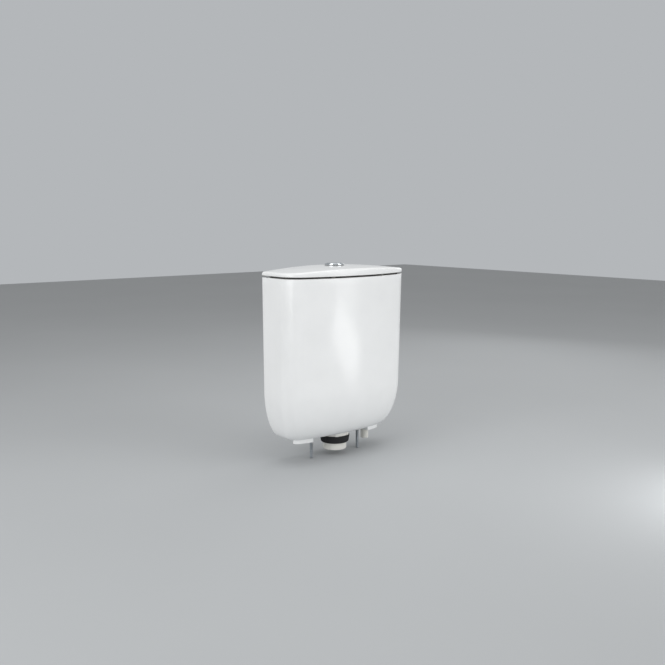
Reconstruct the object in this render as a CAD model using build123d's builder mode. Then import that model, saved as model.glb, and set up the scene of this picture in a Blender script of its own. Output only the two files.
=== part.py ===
from build123d import *
import os
from math import asin, atan2, cos, sin, sqrt

# Close-coupled toilet cistern of glazed china, with its lid, dual-flush button,
# dual-flush valve, bottom-entry fill valve and the bolts that hold it to the pan.
#
# Frame: the origin is on the outlet's axis, in the plane that the cistern's feet
# stand on. +Z is up, +Y points to the wall behind, +X is the right-hand end seen
# from the front. All lengths are in millimetres.

# China tank
tank_width = 365.0
tank_depth = 150.0
rim_height = 404.0
back_to_outlet = 50.0
pad_height = 12.0
floor_thickness = 14.0
wall = 10.0
front_reach = 75.0
corner_radius = 54.0
back_corner = 6.0
inner_back_corner = 14.0
back_trim = 0.1
side_draft = 1.0
underside_share = 0.798
underside_reach = 40.0
lean_share = 0.25
bottom_round_height = 123.0
bottom_round_drop = 4.0
rim_fillet = 2.0
underside_fillet = 4.0
floor_fillet = 4.0
pad_to_side = 10.635
pad_depth = 17.0
pad_to_middle = 88.0
pad_inset = 6.0
pad_fillet = 3.0

# Holes in the tank
outlet_hole_play = 1.7
bolt_spacing = 150.0
bolt_hole_radius = 5.5
inlet_offset = 112.0
inlet_back = 14.0
inlet_hole_radius = 11.5
wall_hole_spacing = 220.0
wall_hole_radius = 4.0
wall_hole_below_rim = 52.0

# China lid
lid_gap = 3.5
lid_edge = 9.7
lid_crown = 10.8
lid_overhang = 0.5
lid_top_fillet = 4.0
lid_bottom_fillet = 1.5
lid_pocket = 5.0
rib_gap = 2.0
rib_width = 7.0
rib_depth = 8.0
buffer_radius = 4.5
buffer_back_spacing = 240.0
buffer_front_spacing = 150.0

# Dual-flush button
bezel_radius = 24.0
bezel_proud = 4.0
bezel_chamfer = 1.4
barrel_radius = 21.5
barrel_bore = 19.6
barrel_depth = 30.0
barrel_web = 3.0
button_hole_play = 0.5
seat_recess = 0.5
seat_play = 0.6
gasket_thickness = 1.0
button_play = 0.1
button_height = 14.5
button_proud = 1.2
button_split = 5.0
button_gap = 0.8
button_fillet = 0.6
button_nut_radius = 29.0
button_nut_height = 7.0
nut_wings = 4
nut_wing_turn = 45.0
nut_wing_width = 8.0
nut_wing_reach = 3.0
rod_radius = 3.0
rod_play = 0.4
full_rod_offset = 10.0
half_rod_offset = 12.0
rod_line = 5.0
spring_inner = 3.6
spring_outer = 5.2

# Flush valve
gasket_height = 3.0
valve_flange_radius = 36.0
valve_flange_height = 4.0
tail_radius = 29.8
tail_relief = 0.4
tail_bore = 25.0
tail_length = 34.0
tail_thread = 17.0
seat_ring_radius = 28.5
seat_ring_height = 5.0
backnut_radius = 36.0
backnut_height = 10.0
backnut_lugs = 6
lug_width = 9.0
lug_reach = 1.6
seal_outer = 38.0
seal_taper = 3.0
seal_height = 17.7
nut_fit = 0.05
soft_fit = 0.3
cage_radius = 34.5
cage_wall = 2.0
cage_height = 79.0
cage_window_width = 21.0
cage_window_height = 32.0
cage_window_sill = 6.0
cage_windows = 6
tower_ring_height = 5.0
tower_ring_opening = 25.5
column_width = 14.0
column_thickness = 3.5
lever_below_rim = 68.0
head_plate = 3.0
head_plate_below_lever = 14.0
head_opening_length = 46.0
head_opening_width = 24.0
ear_thickness = 3.0
ear_gap = 28.0
ear_width = 12.0
ear_over_pin = 5.0
pin_radius = 1.5
pin_play = 0.05
pin_overhang = 1.0
lever_width = 5.0
lever_thickness = 4.0
lever_hub_radius = 4.5
rod_pad = 3.0
lift_arm = 16.5
lever_play = 0.3

# Overflow tube and what it lifts
tube_radius = 14.0
tube_wall = 2.0
tube_flange_radius = 22.0
tube_flange_height = 3.0
flush_seal_radius = 27.5
flush_seal_inner = 12.2
flush_seal_height = 3.0
seal_lift_play = 0.3
retainer_radius = 18.0
retainer_height = 2.3
overflow_below_lever = 28.0
yoke_ring_width = 3.0
yoke_ring_height = 6.0
post_play = 1.0
post_thickness = 3.5
post_width = 6.0
lug_height = 3.6
lug_length = 8.0
float_radius = 24.0
float_play = 0.6
float_height = 35.0
float_base = 150.0
float_shell = 2.0

# Fill valve
inlet_tail_radius = 10.48
inlet_tail_relief = 0.28
inlet_bore = 6.0
inlet_tail_length = 30.0
inlet_tail_thread = 33.0
inlet_flange_radius = 17.0
inlet_flange_height = 4.0
inlet_nut_flats = 30.0
inlet_nut_height = 8.0
filter_wall = 1.0
filter_height = 18.0
column_radius = 11.5
column_bore = 8.0
spigot_radius = 7.9
spigot_height = 12.0
fill_head_below_rim = 168.0
fill_head_radius = 19.0
fill_head_height = 32.0
diaphragm_radius = 16.0
diaphragm_height = 2.0
diaphragm_recess = 6.0
cap_radius = 20.5
cap_height = 8.0
cap_ribs = 20
cap_rib_size = 1.2
silencer_offset = 22.0
silencer_radius = 6.5
silencer_wall = 1.5
silencer_above_floor = 22.0
boss_radius = 8.5
boss_height = 16.0
float_cup_radius = 17.0
float_cup_offset = 34.0
float_cup_height = 62.0
float_cup_below_head = 22.0
guide_ring_play = 0.4
guide_ring_wall = 2.6
guide_ring_height = 12.0
guide_web_width = 10.0
guide_web_sink = 2.0
float_rod_radius = 1.6
float_rod_offset = 49.0
arm_pivot_offset = 24.0
arm_above_head_base = 20.0
arm_thickness = 3.0
arm_width = 8.0
arm_slot_play = 0.7
arm_slot_length = 10.0
arm_tip = 6.0
arm_ear_thickness = 2.5
arm_ear_play = 0.3
arm_ear_radius = 4.0
adjuster_radius = 4.0
adjuster_sides = 12
adjuster_height = 4.0
adjuster_play = 0.4

# Coupling bolts, M8
bolt_radius = 4.0
bolt_relief = 0.2
bolt_free_length = 48.0
bolt_head_flats = 13.0
bolt_head_height = 5.4
rubber_washer_radius = 13.0
steel_washer_radius = 11.0
steel_washer_height = 1.6
bolt_nut_height = 6.4

# One overrun for every cut that passes through a face, and counts used throughout
overrun = 1.0
rounding_steps = 9
hex_sides = 6

os.makedirs("parts", exist_ok=True)

# Heights and places that follow from the sizes above
wall_y = back_to_outlet
underside = pad_height
floor_top = underside + floor_thickness
round_top = underside - bottom_round_drop + bottom_round_height
side_straight = tank_depth - front_reach
lid_bottom = rim_height + lid_gap
lid_top = lid_bottom + lid_edge + lid_crown
crown_radius = ((tank_width / 2) ** 2 + lid_crown**2) / (2 * lid_crown)
bolt_places = [(-bolt_spacing / 2, 0), (bolt_spacing / 2, 0)]
inlet_place = (inlet_offset, inlet_back)
flange_base = floor_top + gasket_height
lever_height = rim_height - lever_below_rim

# How far the front and the ends come in between the rim and the underside
low_fall = (rim_height - underside) / rim_height
low_draw_in = 1 - sqrt(1 - ((round_top - underside) / bottom_round_height) ** 2)
front_come_in = tank_depth - back_to_outlet - underside_reach
underside_width = underside_share * tank_width
side_come_in = (tank_width - underside_width) / 2
front_lean = lean_share * front_come_in
bottom_round_front = (front_come_in - front_lean * low_fall) / low_draw_in
bottom_round_side = (side_come_in - side_draft * low_fall) / low_draw_in


def finish(piece, name):
    """Labels a finished piece and writes it."""
    piece.label = name
    export_step(piece, f"parts/{name}.step")


def plan(height, inset):
    """Sizes of the tank's D-shaped plan at one height, set in from its outside.

    The front and the ends draw in together towards the bottom, along a quarter of
    an ellipse, and the front leans back a little all the way up.
    """
    fall = (rim_height - height) / rim_height
    dip = max(round_top - height, 0) / bottom_round_height
    draw_in = 1 - sqrt(1 - dip**2)
    depth = tank_depth - front_lean * fall - bottom_round_front * draw_in
    half = tank_width / 2 - side_draft * fall - bottom_round_side * draw_in - inset
    radius = corner_radius * depth / tank_depth - inset
    shoulder = wall_y - side_straight * depth / tank_depth
    reach = shoulder - wall_y + depth - inset
    front_radius = ((half - radius) ** 2 + reach**2 - radius**2) / (2 * (reach - radius))
    front_centre = shoulder - reach + front_radius
    return half, radius, shoulder, front_radius, front_centre


def draw_plan(height, inset, back_radius, back_surplus=0):
    """Draws that plan as a closed face: flat back, straight ends, bowed front.

    A plan that grows outwards still stops at the wall, unless it is given a surplus
    there, to be cut off flat.
    """
    half, radius, shoulder, front_radius, front_centre = plan(height, inset)
    back = wall_y - max(inset, 0) + back_surplus
    turn = atan2(shoulder - front_centre, half - radius)
    corner = Vector(half - radius, shoulder)
    middle = corner + Vector(cos(turn / 2), sin(turn / 2)) * radius
    meet = corner + Vector(cos(turn), sin(turn)) * radius
    back_middle = back_radius * (1 - sqrt(0.5))
    front = (0, front_centre - front_radius)
    with BuildLine() as outline:
        Line((half - back_radius, back), (back_radius - half, back))
        ThreePointArc(
            (half - back_radius, back),
            (half - back_middle, back - back_middle),
            (half, back - back_radius),
        )
        Line((half, back - back_radius), (half, shoulder))
        ThreePointArc((half, shoulder), middle, meet)
        ThreePointArc(meet, front, (-meet.X, meet.Y))
        ThreePointArc((-meet.X, meet.Y), (-middle.X, middle.Y), (-half, shoulder))
        Line((-half, shoulder), (-half, back - back_radius))
        ThreePointArc(
            (-half, back - back_radius),
            (back_middle - half, back - back_middle),
            (back_radius - half, back),
        )
    make_face(outline.edges())


def rounding_heights(lowest):
    """Heights of the sections through the bottom rounding, closest where it is steepest."""
    steep = asin((round_top - lowest) / bottom_round_height)
    return [
        round_top - bottom_round_height * sin(steep * step / rounding_steps)
        for step in range(rounding_steps, -1, -1)
    ]


def ring(outer, inner, bottom, top, centre=(0, 0)):
    """A plain ring between two heights, for washers, gaskets and seals."""
    with BuildPart() as body:
        with BuildSketch(Plane.XY.offset(bottom)):
            with Locations(centre):
                Circle(outer)
                Circle(inner, mode=Mode.SUBTRACT)
        extrude(amount=top - bottom)
    return body.part


# Tank: one slip-cast piece of vitreous china, open at the top, with two low feet
# under the front of its floor; its back is trimmed to one flat face
pad_width = underside_width / 2 - pad_to_side - pad_to_middle
with BuildPart() as tank_body:
    for height in rounding_heights(underside):
        with BuildSketch(Plane.XY.offset(height)):
            draw_plan(height, 0, back_corner, back_trim)
    loft()
    for height in (round_top, rim_height):
        with BuildSketch(Plane.XY.offset(height)):
            draw_plan(height, 0, back_corner, back_trim)
    loft(ruled=True)
    fillet(tank_body.faces().sort_by(Axis.Z)[-1].edges(), rim_fillet)
    fillet(tank_body.faces().sort_by(Axis.Z)[0].edges(), underside_fillet)
    split(bisect_by=Plane.XZ.offset(-wall_y), keep=Keep.TOP)
    for height in rounding_heights(floor_top):
        with BuildSketch(Plane.XY.offset(height)):
            draw_plan(height, wall, inner_back_corner)
    loft(mode=Mode.SUBTRACT)
    for height in (round_top, rim_height + overrun):
        with BuildSketch(Plane.XY.offset(height)):
            draw_plan(height, wall, inner_back_corner)
    loft(ruled=True, mode=Mode.SUBTRACT)
    level_faces = tank_body.faces().filter_by(Axis.Z).sort_by(Axis.Z)
    fillet(level_faces[-1].inner_wires()[0].edges(), rim_fillet)
    fillet(level_faces[1].edges(), floor_fillet)
    for side in (-1, 1):
        with BuildSketch(Plane.XY):
            draw_plan(underside, pad_inset, back_corner)
            half, radius, shoulder, front_radius, front_centre = plan(underside, pad_inset)
            pad_front = front_centre - sqrt(front_radius**2 - (pad_to_middle + pad_width / 2) ** 2)
            with Locations((side * (pad_to_middle + pad_width / 2), pad_front)):
                RectangleRounded(pad_width, 2 * pad_depth, pad_fillet, mode=Mode.INTERSECT)
        extrude(amount=pad_height)
    with Locations((0, 0, floor_top)):
        Hole(tail_radius + outlet_hole_play, floor_thickness + overrun)
    with Locations([(x, y, floor_top) for x, y in bolt_places]):
        Hole(bolt_hole_radius, floor_thickness + overrun)
    with Locations((inlet_offset, inlet_back, floor_top)):
        Hole(inlet_hole_radius, floor_thickness + overrun)
    with BuildSketch(Plane.XZ.offset(-wall_y)):
        with Locations((0, rim_height - wall_hole_below_rim)):
            with GridLocations(wall_hole_spacing, wall, 2, 1):
                Circle(wall_hole_radius)
    extrude(amount=wall + overrun, mode=Mode.SUBTRACT)
finish(tank_body.part, "tank_body")

# Lid: a china slab with a shallow dome, a hollow underside and a rib that keeps it
# inside the tank's rim
rib_outer = wall + rib_gap
rib_inner = rib_outer + rib_width
button_hole_radius = barrel_radius + button_hole_play
seat_height = lid_top - seat_recess
with BuildPart() as lid:
    with BuildSketch(Plane.XY.offset(lid_bottom)):
        draw_plan(rim_height, -lid_overhang, back_corner)
    extrude(amount=lid_edge + lid_crown)
    with Locations((0, 0, lid_top - crown_radius)):
        Sphere(crown_radius, mode=Mode.INTERSECT)
    fillet(lid.faces().sort_by(Axis.Z)[-1].edges(), lid_top_fillet)
    fillet(lid.faces().sort_by(Axis.Z)[0].edges(), lid_bottom_fillet)
    with BuildSketch(Plane.XY.offset(lid_bottom)):
        draw_plan(rim_height, rib_inner, inner_back_corner)
    extrude(amount=lid_pocket, mode=Mode.SUBTRACT)
    with BuildSketch(Plane.XY.offset(lid_bottom)):
        draw_plan(rim_height, rib_outer, inner_back_corner)
    extrude(amount=-rib_depth)
    with BuildSketch(Plane.XY.offset(lid_bottom - rib_depth)):
        draw_plan(rim_height, rib_inner, inner_back_corner)
    extrude(amount=rib_depth, mode=Mode.SUBTRACT)
    with Locations((0, 0, lid_top)):
        CounterBoreHole(button_hole_radius, bezel_radius + seat_play, seat_recess)
finish(lid.part, "lid")

# Lid buffers: soft studs stuck under the lid, which leave the dark seam above the rim
rim_middle = plan(rim_height, wall / 2)
buffer_back = wall_y - wall / 2
buffer_front = rim_middle[4] - sqrt(rim_middle[3] ** 2 - (buffer_front_spacing / 2) ** 2)
with BuildPart() as lid_buffers:
    with BuildSketch(Plane.XY.offset(rim_height)):
        with Locations((0, buffer_back)):
            with GridLocations(buffer_back_spacing, wall, 2, 1):
                Circle(buffer_radius)
        with Locations((0, buffer_front)):
            with GridLocations(buffer_front_spacing, wall, 2, 1):
                Circle(buffer_radius)
    extrude(amount=lid_gap)
finish(lid_buffers.part, "lid_buffers")

# Button housing: a chromed ring on the lid with a threaded barrel through it, closed
# below by a web that the two push rods run through
bezel_base = seat_height + gasket_thickness
bezel_top = bezel_base + bezel_proud
barrel_base = bezel_top - barrel_depth
web_top = barrel_base + barrel_web
rod_places = {"full": (-full_rod_offset, -rod_line), "half": (half_rod_offset, rod_line)}
with BuildPart() as button_bezel:
    with BuildSketch(Plane.XY.offset(barrel_base)):
        Circle(barrel_radius)
    extrude(amount=bezel_base - barrel_base)
    with BuildSketch(Plane.XY.offset(bezel_base)):
        Circle(bezel_radius)
    extrude(amount=bezel_proud)
    chamfer(button_bezel.edges().group_by(Axis.Z)[-1], bezel_chamfer)
    with Locations((0, 0, bezel_top)):
        Hole(barrel_bore, bezel_top - web_top)
    with Locations([(x, y, web_top) for x, y in rod_places.values()]):
        Hole(rod_radius + rod_play, barrel_web + overrun)
finish(button_bezel.part, "button_bezel")

button_gasket = ring(bezel_radius, button_hole_radius, seat_height, bezel_base)
finish(button_gasket, "button_gasket")

# Button nut: screwed up the barrel under the lid, with wings for the fingers
lid_underside = lid_bottom + lid_pocket
with BuildPart() as button_nut:
    with BuildSketch(Plane.XY.offset(lid_underside - button_nut_height)):
        Circle(button_nut_radius)
        with PolarLocations(button_nut_radius, nut_wings, start_angle=nut_wing_turn):
            Rectangle(2 * nut_wing_reach, nut_wing_width)
        Circle(barrel_radius + nut_fit, mode=Mode.SUBTRACT)
    extrude(amount=button_nut_height)
finish(button_nut.part, "button_nut")

# The two buttons: the larger, full flush, on the left and the smaller on the right
button_top = bezel_top + button_proud
button_base = button_top - button_height
button_radius = barrel_bore - button_play
for name, side in (("full", -1), ("half", 1)):
    with BuildPart() as button:
        with BuildSketch(Plane.XY.offset(button_base)):
            Circle(button_radius)
            reach = 2 * button_radius
            with Locations((button_split + side * (button_gap / 2 + reach / 2), 0)):
                Rectangle(reach, reach, mode=Mode.INTERSECT)
        extrude(amount=button_height)
        fillet(button.faces().sort_by(Axis.Z)[-1].edges(), button_fillet)
    finish(button.part, f"{name}_flush_button")

    spring = ring(spring_outer, spring_inner, web_top, button_base, rod_places[name])
    finish(spring, f"{name}_button_spring")

# Push rods: from the button's underside down to the lever, with a round tip
lever_top = lever_height + lever_thickness / 2
rod_tip = lever_top + lever_play
for name, place in rod_places.items():
    with BuildPart() as push_rod:
        with BuildSketch(Plane.XY.offset(rod_tip + rod_radius)):
            with Locations(place):
                Circle(rod_radius)
        extrude(amount=button_base - rod_tip - rod_radius)
        with Locations((place[0], place[1], rod_tip + rod_radius)):
            Sphere(rod_radius)
    finish(push_rod.part, f"{name}_push_rod")

# Flush valve base: a flange on the tank's floor, a seat above it and a threaded tail
# that carries the water down into the pan
flange_top = flange_base + valve_flange_height
seat_top = flange_top + seat_ring_height
tail_end = -tail_length
with BuildPart() as flush_valve_base:
    with BuildSketch(Plane.XY.offset(tail_end)):
        Circle(tail_radius)
    extrude(amount=tail_thread)
    with BuildSketch(Plane.XY.offset(tail_end + tail_thread)):
        Circle(tail_radius - tail_relief)
    extrude(amount=tail_length - tail_thread + flange_base)
    with BuildSketch(Plane.XY.offset(flange_base)):
        Circle(valve_flange_radius)
    extrude(amount=valve_flange_height)
    with BuildSketch(Plane.XY.offset(flange_top)):
        Circle(seat_ring_radius)
    extrude(amount=seat_ring_height)
    with Locations((0, 0, seat_top)):
        Hole(tail_bore, seat_top + tail_length + overrun)
finish(flush_valve_base.part, "flush_valve_base")

neck_radius = tail_radius - tail_relief
valve_gasket = ring(valve_flange_radius, neck_radius + nut_fit, floor_top, flange_base)
finish(valve_gasket, "valve_gasket")

# Flush backnut: under the floor, with lugs for the spanner
backnut_base = underside - backnut_height
with BuildPart() as flush_backnut:
    with BuildSketch(Plane.XY.offset(backnut_base)):
        Circle(backnut_radius - lug_reach)
        with PolarLocations(backnut_radius - lug_reach, backnut_lugs):
            Rectangle(2 * lug_reach, lug_width)
        Circle(neck_radius + nut_fit, mode=Mode.SUBTRACT)
    extrude(amount=backnut_height)
finish(flush_backnut.part, "flush_backnut")

# Coupling seal: a soft tapered ring round the tail, pressed into the pan's mouth
seal_top = backnut_base - soft_fit
seal_base = seal_top - seal_height
with BuildPart() as coupling_seal:
    with BuildSketch(Plane.XY.offset(seal_top)):
        Circle(seal_outer)
    with BuildSketch(Plane.XY.offset(seal_base)):
        Circle(seal_outer - seal_taper)
    loft(ruled=True)
    with Locations((0, 0, seal_top)):
        Hole(neck_radius + soft_fit, seal_height + overrun)
finish(coupling_seal.part, "coupling_seal")

# Cage: a drum on the valve base with windows at its foot, where the water runs in
cage_top = flange_top + cage_height
with BuildPart() as flush_valve_cage:
    with BuildSketch(Plane.XY.offset(flange_top)):
        Circle(cage_radius)
        Circle(cage_radius - cage_wall, mode=Mode.SUBTRACT)
    extrude(amount=cage_height)
    window_base = flange_top + cage_window_sill
    with BuildSketch(Plane.XY.offset(window_base)):
        with PolarLocations(cage_radius, cage_windows):
            Rectangle(4 * cage_wall, cage_window_width)
    extrude(amount=cage_window_height, mode=Mode.SUBTRACT)
finish(flush_valve_cage.part, "flush_valve_cage")

# Tower: a ring on the cage, two upright columns and a ring that carries the head
tower_top = lever_height - head_plate_below_lever
column_place = tower_ring_opening + column_thickness / 2
with BuildPart() as valve_tower:
    for ring_base in (cage_top, tower_top - tower_ring_height):
        with BuildSketch(Plane.XY.offset(ring_base)):
            Circle(cage_radius)
            Circle(tower_ring_opening, mode=Mode.SUBTRACT)
        extrude(amount=tower_ring_height)
    with BuildSketch(Plane.XY.offset(cage_top)):
        with Locations((0, -column_place), (0, column_place)):
            Rectangle(column_width, column_thickness)
    extrude(amount=tower_top - cage_top)
finish(valve_tower.part, "valve_tower")

# Head: a plate on the tower with two ears that hold the levers' pin
plate_top = tower_top + head_plate
ear_top = lever_height + ear_over_pin
with BuildPart() as valve_head:
    with BuildSketch(Plane.XY.offset(tower_top)):
        Circle(cage_radius)
        Rectangle(head_opening_length, head_opening_width, mode=Mode.SUBTRACT)
    extrude(amount=head_plate)
    ear_place = (ear_gap + ear_thickness) / 2
    with BuildSketch(Plane.XY.offset(plate_top)):
        with Locations((0, -ear_place), (0, ear_place)):
            Rectangle(ear_width, ear_thickness)
    extrude(amount=ear_top - plate_top)
    with BuildSketch(Plane.XZ.offset(-cage_radius)):
        with Locations((0, lever_height)):
            Circle(pin_radius + nut_fit)
    extrude(amount=2 * cage_radius, mode=Mode.SUBTRACT)
finish(valve_head.part, "valve_head")

pin_length = ear_gap + 2 * (ear_thickness + pin_overhang)
with BuildPart() as lever_pin:
    with BuildSketch(Plane.XZ.offset(-pin_length / 2)):
        with Locations((0, lever_height)):
            Circle(pin_radius)
    extrude(amount=pin_length)
finish(lever_pin.part, "lever_pin")

# Flush levers: see-saws on one pin; a rod pushes one arm down, the other arm lifts
for name, side, rod_offset in (("full", -1, full_rod_offset), ("half", 1, half_rod_offset)):
    push_end = side * (rod_offset + rod_pad)
    lift_end = -side * lift_arm
    with BuildPart() as flush_lever:
        with BuildSketch(Plane.XZ.offset(-side * rod_line - lever_width / 2)):
            with Locations(((push_end + lift_end) / 2, lever_height)):
                Rectangle(abs(push_end - lift_end), lever_thickness)
            with Locations((0, lever_height)):
                Circle(lever_hub_radius)
                Circle(pin_radius + pin_play, mode=Mode.SUBTRACT)
        extrude(amount=lever_width)
    finish(flush_lever.part, f"{name}_flush_lever")

# Overflow tube: the moving part of the valve, open from top to bottom, so that water
# over its top runs into the pan
seal_base_height = seat_top + seal_lift_play
tube_base = seal_base_height + flush_seal_height
tube_top = lever_height - overflow_below_lever
with BuildPart() as overflow_tube:
    with BuildSketch(Plane.XY.offset(tube_base)):
        Circle(tube_flange_radius)
    extrude(amount=tube_flange_height)
    with BuildSketch(Plane.XY.offset(tube_base)):
        Circle(tube_radius)
    extrude(amount=tube_top - tube_base)
    with Locations((0, 0, tube_top)):
        Hole(tube_radius - tube_wall, tube_top - tube_base + overrun)
finish(overflow_tube.part, "overflow_tube")

flush_seal = ring(flush_seal_radius, flush_seal_inner, seal_base_height, tube_base)
finish(flush_seal, "flush_seal")

retainer_base = seal_base_height - retainer_height
seal_retainer = ring(retainer_radius, flush_seal_inner, retainer_base, seal_base_height)
finish(seal_retainer, "seal_retainer")

# Lift yoke: a ring clipped round the tube's top, with a post and a lug over the full
# lever's lifting arm
post_inner = lift_arm + post_play
post_middle = post_inner + post_thickness / 2
lug_base = lever_top + lever_play
yoke_top = tube_top - tube_wall
yoke_base = yoke_top - yoke_ring_height
with BuildPart() as lift_yoke:
    with BuildSketch(Plane.XY.offset(yoke_base)):
        Circle(tube_radius + yoke_ring_width)
        with Locations((post_inner + post_thickness - post_middle / 2, -rod_line)):
            Rectangle(post_middle, post_width)
        Circle(tube_radius + nut_fit, mode=Mode.SUBTRACT)
    extrude(amount=yoke_ring_height)
    with BuildSketch(Plane.XY.offset(yoke_base)):
        with Locations((post_middle, -rod_line)):
            Rectangle(post_thickness, post_width)
    extrude(amount=lug_base + lug_height - yoke_base)
    with BuildSketch(Plane.XY.offset(lug_base)):
        with Locations((post_inner + post_thickness - lug_length / 2, -rod_line)):
            Rectangle(lug_length, post_width)
    extrude(amount=lug_height)
finish(lift_yoke.part, "lift_yoke")

# Half-flush float: a hollow ring round the tube that shuts the valve early, and the
# strap by which the half lever lifts it
float_top = float_base + float_height
with BuildPart() as half_flush_float:
    with BuildSketch(Plane.XY.offset(float_base)):
        Circle(float_radius)
        Circle(tube_radius + float_play, mode=Mode.SUBTRACT)
    extrude(amount=float_height)
    with BuildSketch(Plane.XY.offset(float_base)):
        Circle(float_radius - float_shell)
        Circle(tube_radius + float_play + float_shell, mode=Mode.SUBTRACT)
    extrude(amount=float_height - float_shell, mode=Mode.SUBTRACT)
finish(half_flush_float.part, "half_flush_float")

with BuildPart() as half_lift_strap:
    with BuildSketch(Plane.XY.offset(float_top)):
        with Locations((-post_middle, rod_line)):
            Rectangle(post_thickness, post_width)
    extrude(amount=lug_base + lug_height - float_top)
    with BuildSketch(Plane.XY.offset(lug_base)):
        with Locations((lug_length / 2 - post_inner - post_thickness, rod_line)):
            Rectangle(lug_length, post_width)
    extrude(amount=lug_height)
finish(half_lift_strap.part, "half_lift_strap")

# Fill valve shank: the threaded inlet tail, its flange on the floor and the spigot
# that carries the column
shank_thread_top = inlet_tail_thread - inlet_tail_length
inlet_flange_top = flange_base + inlet_flange_height
neck = inlet_tail_radius - inlet_tail_relief
with BuildPart() as inlet_shank:
    with BuildSketch(Plane.XY.offset(-inlet_tail_length)):
        with Locations(inlet_place):
            Circle(inlet_tail_radius)
    extrude(amount=inlet_tail_thread)
    with BuildSketch(Plane.XY.offset(shank_thread_top)):
        with Locations(inlet_place):
            Circle(neck)
    extrude(amount=flange_base - shank_thread_top)
    with BuildSketch(Plane.XY.offset(flange_base)):
        with Locations(inlet_place):
            Circle(inlet_flange_radius)
    extrude(amount=inlet_flange_height)
    with BuildSketch(Plane.XY.offset(inlet_flange_top)):
        with Locations(inlet_place):
            Circle(spigot_radius)
    extrude(amount=spigot_height)
    with Locations((inlet_offset, inlet_back, inlet_flange_top + spigot_height)):
        Hole(inlet_bore, inlet_flange_top + spigot_height + inlet_tail_length + overrun)
finish(inlet_shank.part, "inlet_shank")

inlet_washer = ring(inlet_flange_radius, neck + nut_fit, floor_top, flange_base, inlet_place)
finish(inlet_washer, "inlet_washer")

with BuildPart() as inlet_backnut:
    with BuildSketch(Plane.XY.offset(underside - inlet_nut_height)):
        with Locations(inlet_place):
            RegularPolygon(inlet_nut_flats / 2, hex_sides, major_radius=False)
            Circle(neck + nut_fit, mode=Mode.SUBTRACT)
    extrude(amount=inlet_nut_height)
finish(inlet_backnut.part, "inlet_backnut")

# Inlet filter: a thimble in the tail's mouth
with BuildPart() as inlet_filter:
    with BuildSketch(Plane.XY.offset(-inlet_tail_length)):
        with Locations(inlet_place):
            Circle(inlet_bore - nut_fit)
    extrude(amount=filter_height)
    with BuildSketch(Plane.XY.offset(-inlet_tail_length)):
        with Locations(inlet_place):
            Circle(inlet_bore - nut_fit - filter_wall)
    extrude(amount=filter_height - filter_wall, mode=Mode.SUBTRACT)
finish(inlet_filter.part, "inlet_filter")

# Fill valve column: the riser that the float slides on
fill_head_base = rim_height - fill_head_below_rim
fill_column = ring(column_radius, column_bore, inlet_flange_top, fill_head_base, inlet_place)
finish(fill_column, "fill_column")

# Fill valve head: the body of the diaphragm valve, with a boss for the silencer tube
# on its left and two ears in front for the float arm's pin
fill_head_top = fill_head_base + fill_head_height
boss_top = fill_head_base + boss_height
silencer_place = (inlet_offset - silencer_offset, inlet_back)
silencer_top = fill_head_base + boss_height / 2
arm_height = fill_head_base + arm_above_head_base
pivot_y = inlet_back - arm_pivot_offset
arm_ear_middle = (arm_width + arm_ear_thickness) / 2 + arm_ear_play
with BuildPart() as fill_valve_head:
    with BuildSketch(Plane.XY.offset(fill_head_base)):
        with Locations(inlet_place):
            Circle(fill_head_radius)
    extrude(amount=fill_head_height)
    with BuildSketch(Plane.XY.offset(fill_head_base)):
        with Locations(silencer_place):
            Circle(boss_radius)
    extrude(amount=boss_height)
    for side in (-1, 1):
        ear_side = inlet_offset + side * arm_ear_middle - arm_ear_thickness / 2
        with BuildSketch(Plane.YZ.offset(ear_side)):
            with Locations((pivot_y, arm_height)):
                Circle(arm_ear_radius)
            with Locations(((pivot_y + inlet_back) / 2, arm_height)):
                Rectangle(arm_pivot_offset, 2 * arm_ear_radius)
        extrude(amount=arm_ear_thickness)
    with BuildSketch(Plane.YZ.offset(inlet_offset - fill_head_radius)):
        with Locations((pivot_y, arm_height)):
            Circle(pin_radius + nut_fit)
    extrude(amount=2 * fill_head_radius, mode=Mode.SUBTRACT)
    with Locations((inlet_offset, inlet_back, fill_head_top)):
        Hole(diaphragm_radius + pin_play, diaphragm_recess)
    with Locations((inlet_offset, inlet_back, boss_top)):
        Hole(column_bore, boss_height + overrun)
    with Locations((silencer_place[0], silencer_place[1], silencer_top)):
        Hole(silencer_radius + nut_fit, boss_height)
finish(fill_valve_head.part, "fill_valve_head")

diaphragm_top = fill_head_top - diaphragm_recess + diaphragm_height
with BuildPart() as fill_diaphragm:
    with BuildSketch(Plane.XY.offset(diaphragm_top - diaphragm_height)):
        with Locations(inlet_place):
            Circle(diaphragm_radius)
    extrude(amount=diaphragm_height)
finish(fill_diaphragm.part, "fill_diaphragm")

# Fill valve cap: a ribbed screw cap with a plug that holds the diaphragm down
with BuildPart() as fill_valve_cap:
    with BuildSketch(Plane.XY.offset(fill_head_top)):
        with Locations(inlet_place):
            Circle(cap_radius - cap_rib_size)
            with PolarLocations(cap_radius - cap_rib_size, cap_ribs):
                Circle(cap_rib_size)
    extrude(amount=cap_height)
    with BuildSketch(Plane.XY.offset(diaphragm_top)):
        with Locations(inlet_place):
            Circle(diaphragm_radius - pin_play)
    extrude(amount=fill_head_top - diaphragm_top)
finish(fill_valve_cap.part, "fill_valve_cap")

with BuildPart() as silencer_tube:
    silencer_base = floor_top + silencer_above_floor
    with BuildSketch(Plane.XY.offset(silencer_base)):
        with Locations(silencer_place):
            Circle(silencer_radius)
            Circle(silencer_radius - silencer_wall, mode=Mode.SUBTRACT)
    extrude(amount=silencer_top - silencer_base)
finish(silencer_tube.part, "silencer_tube")

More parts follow.
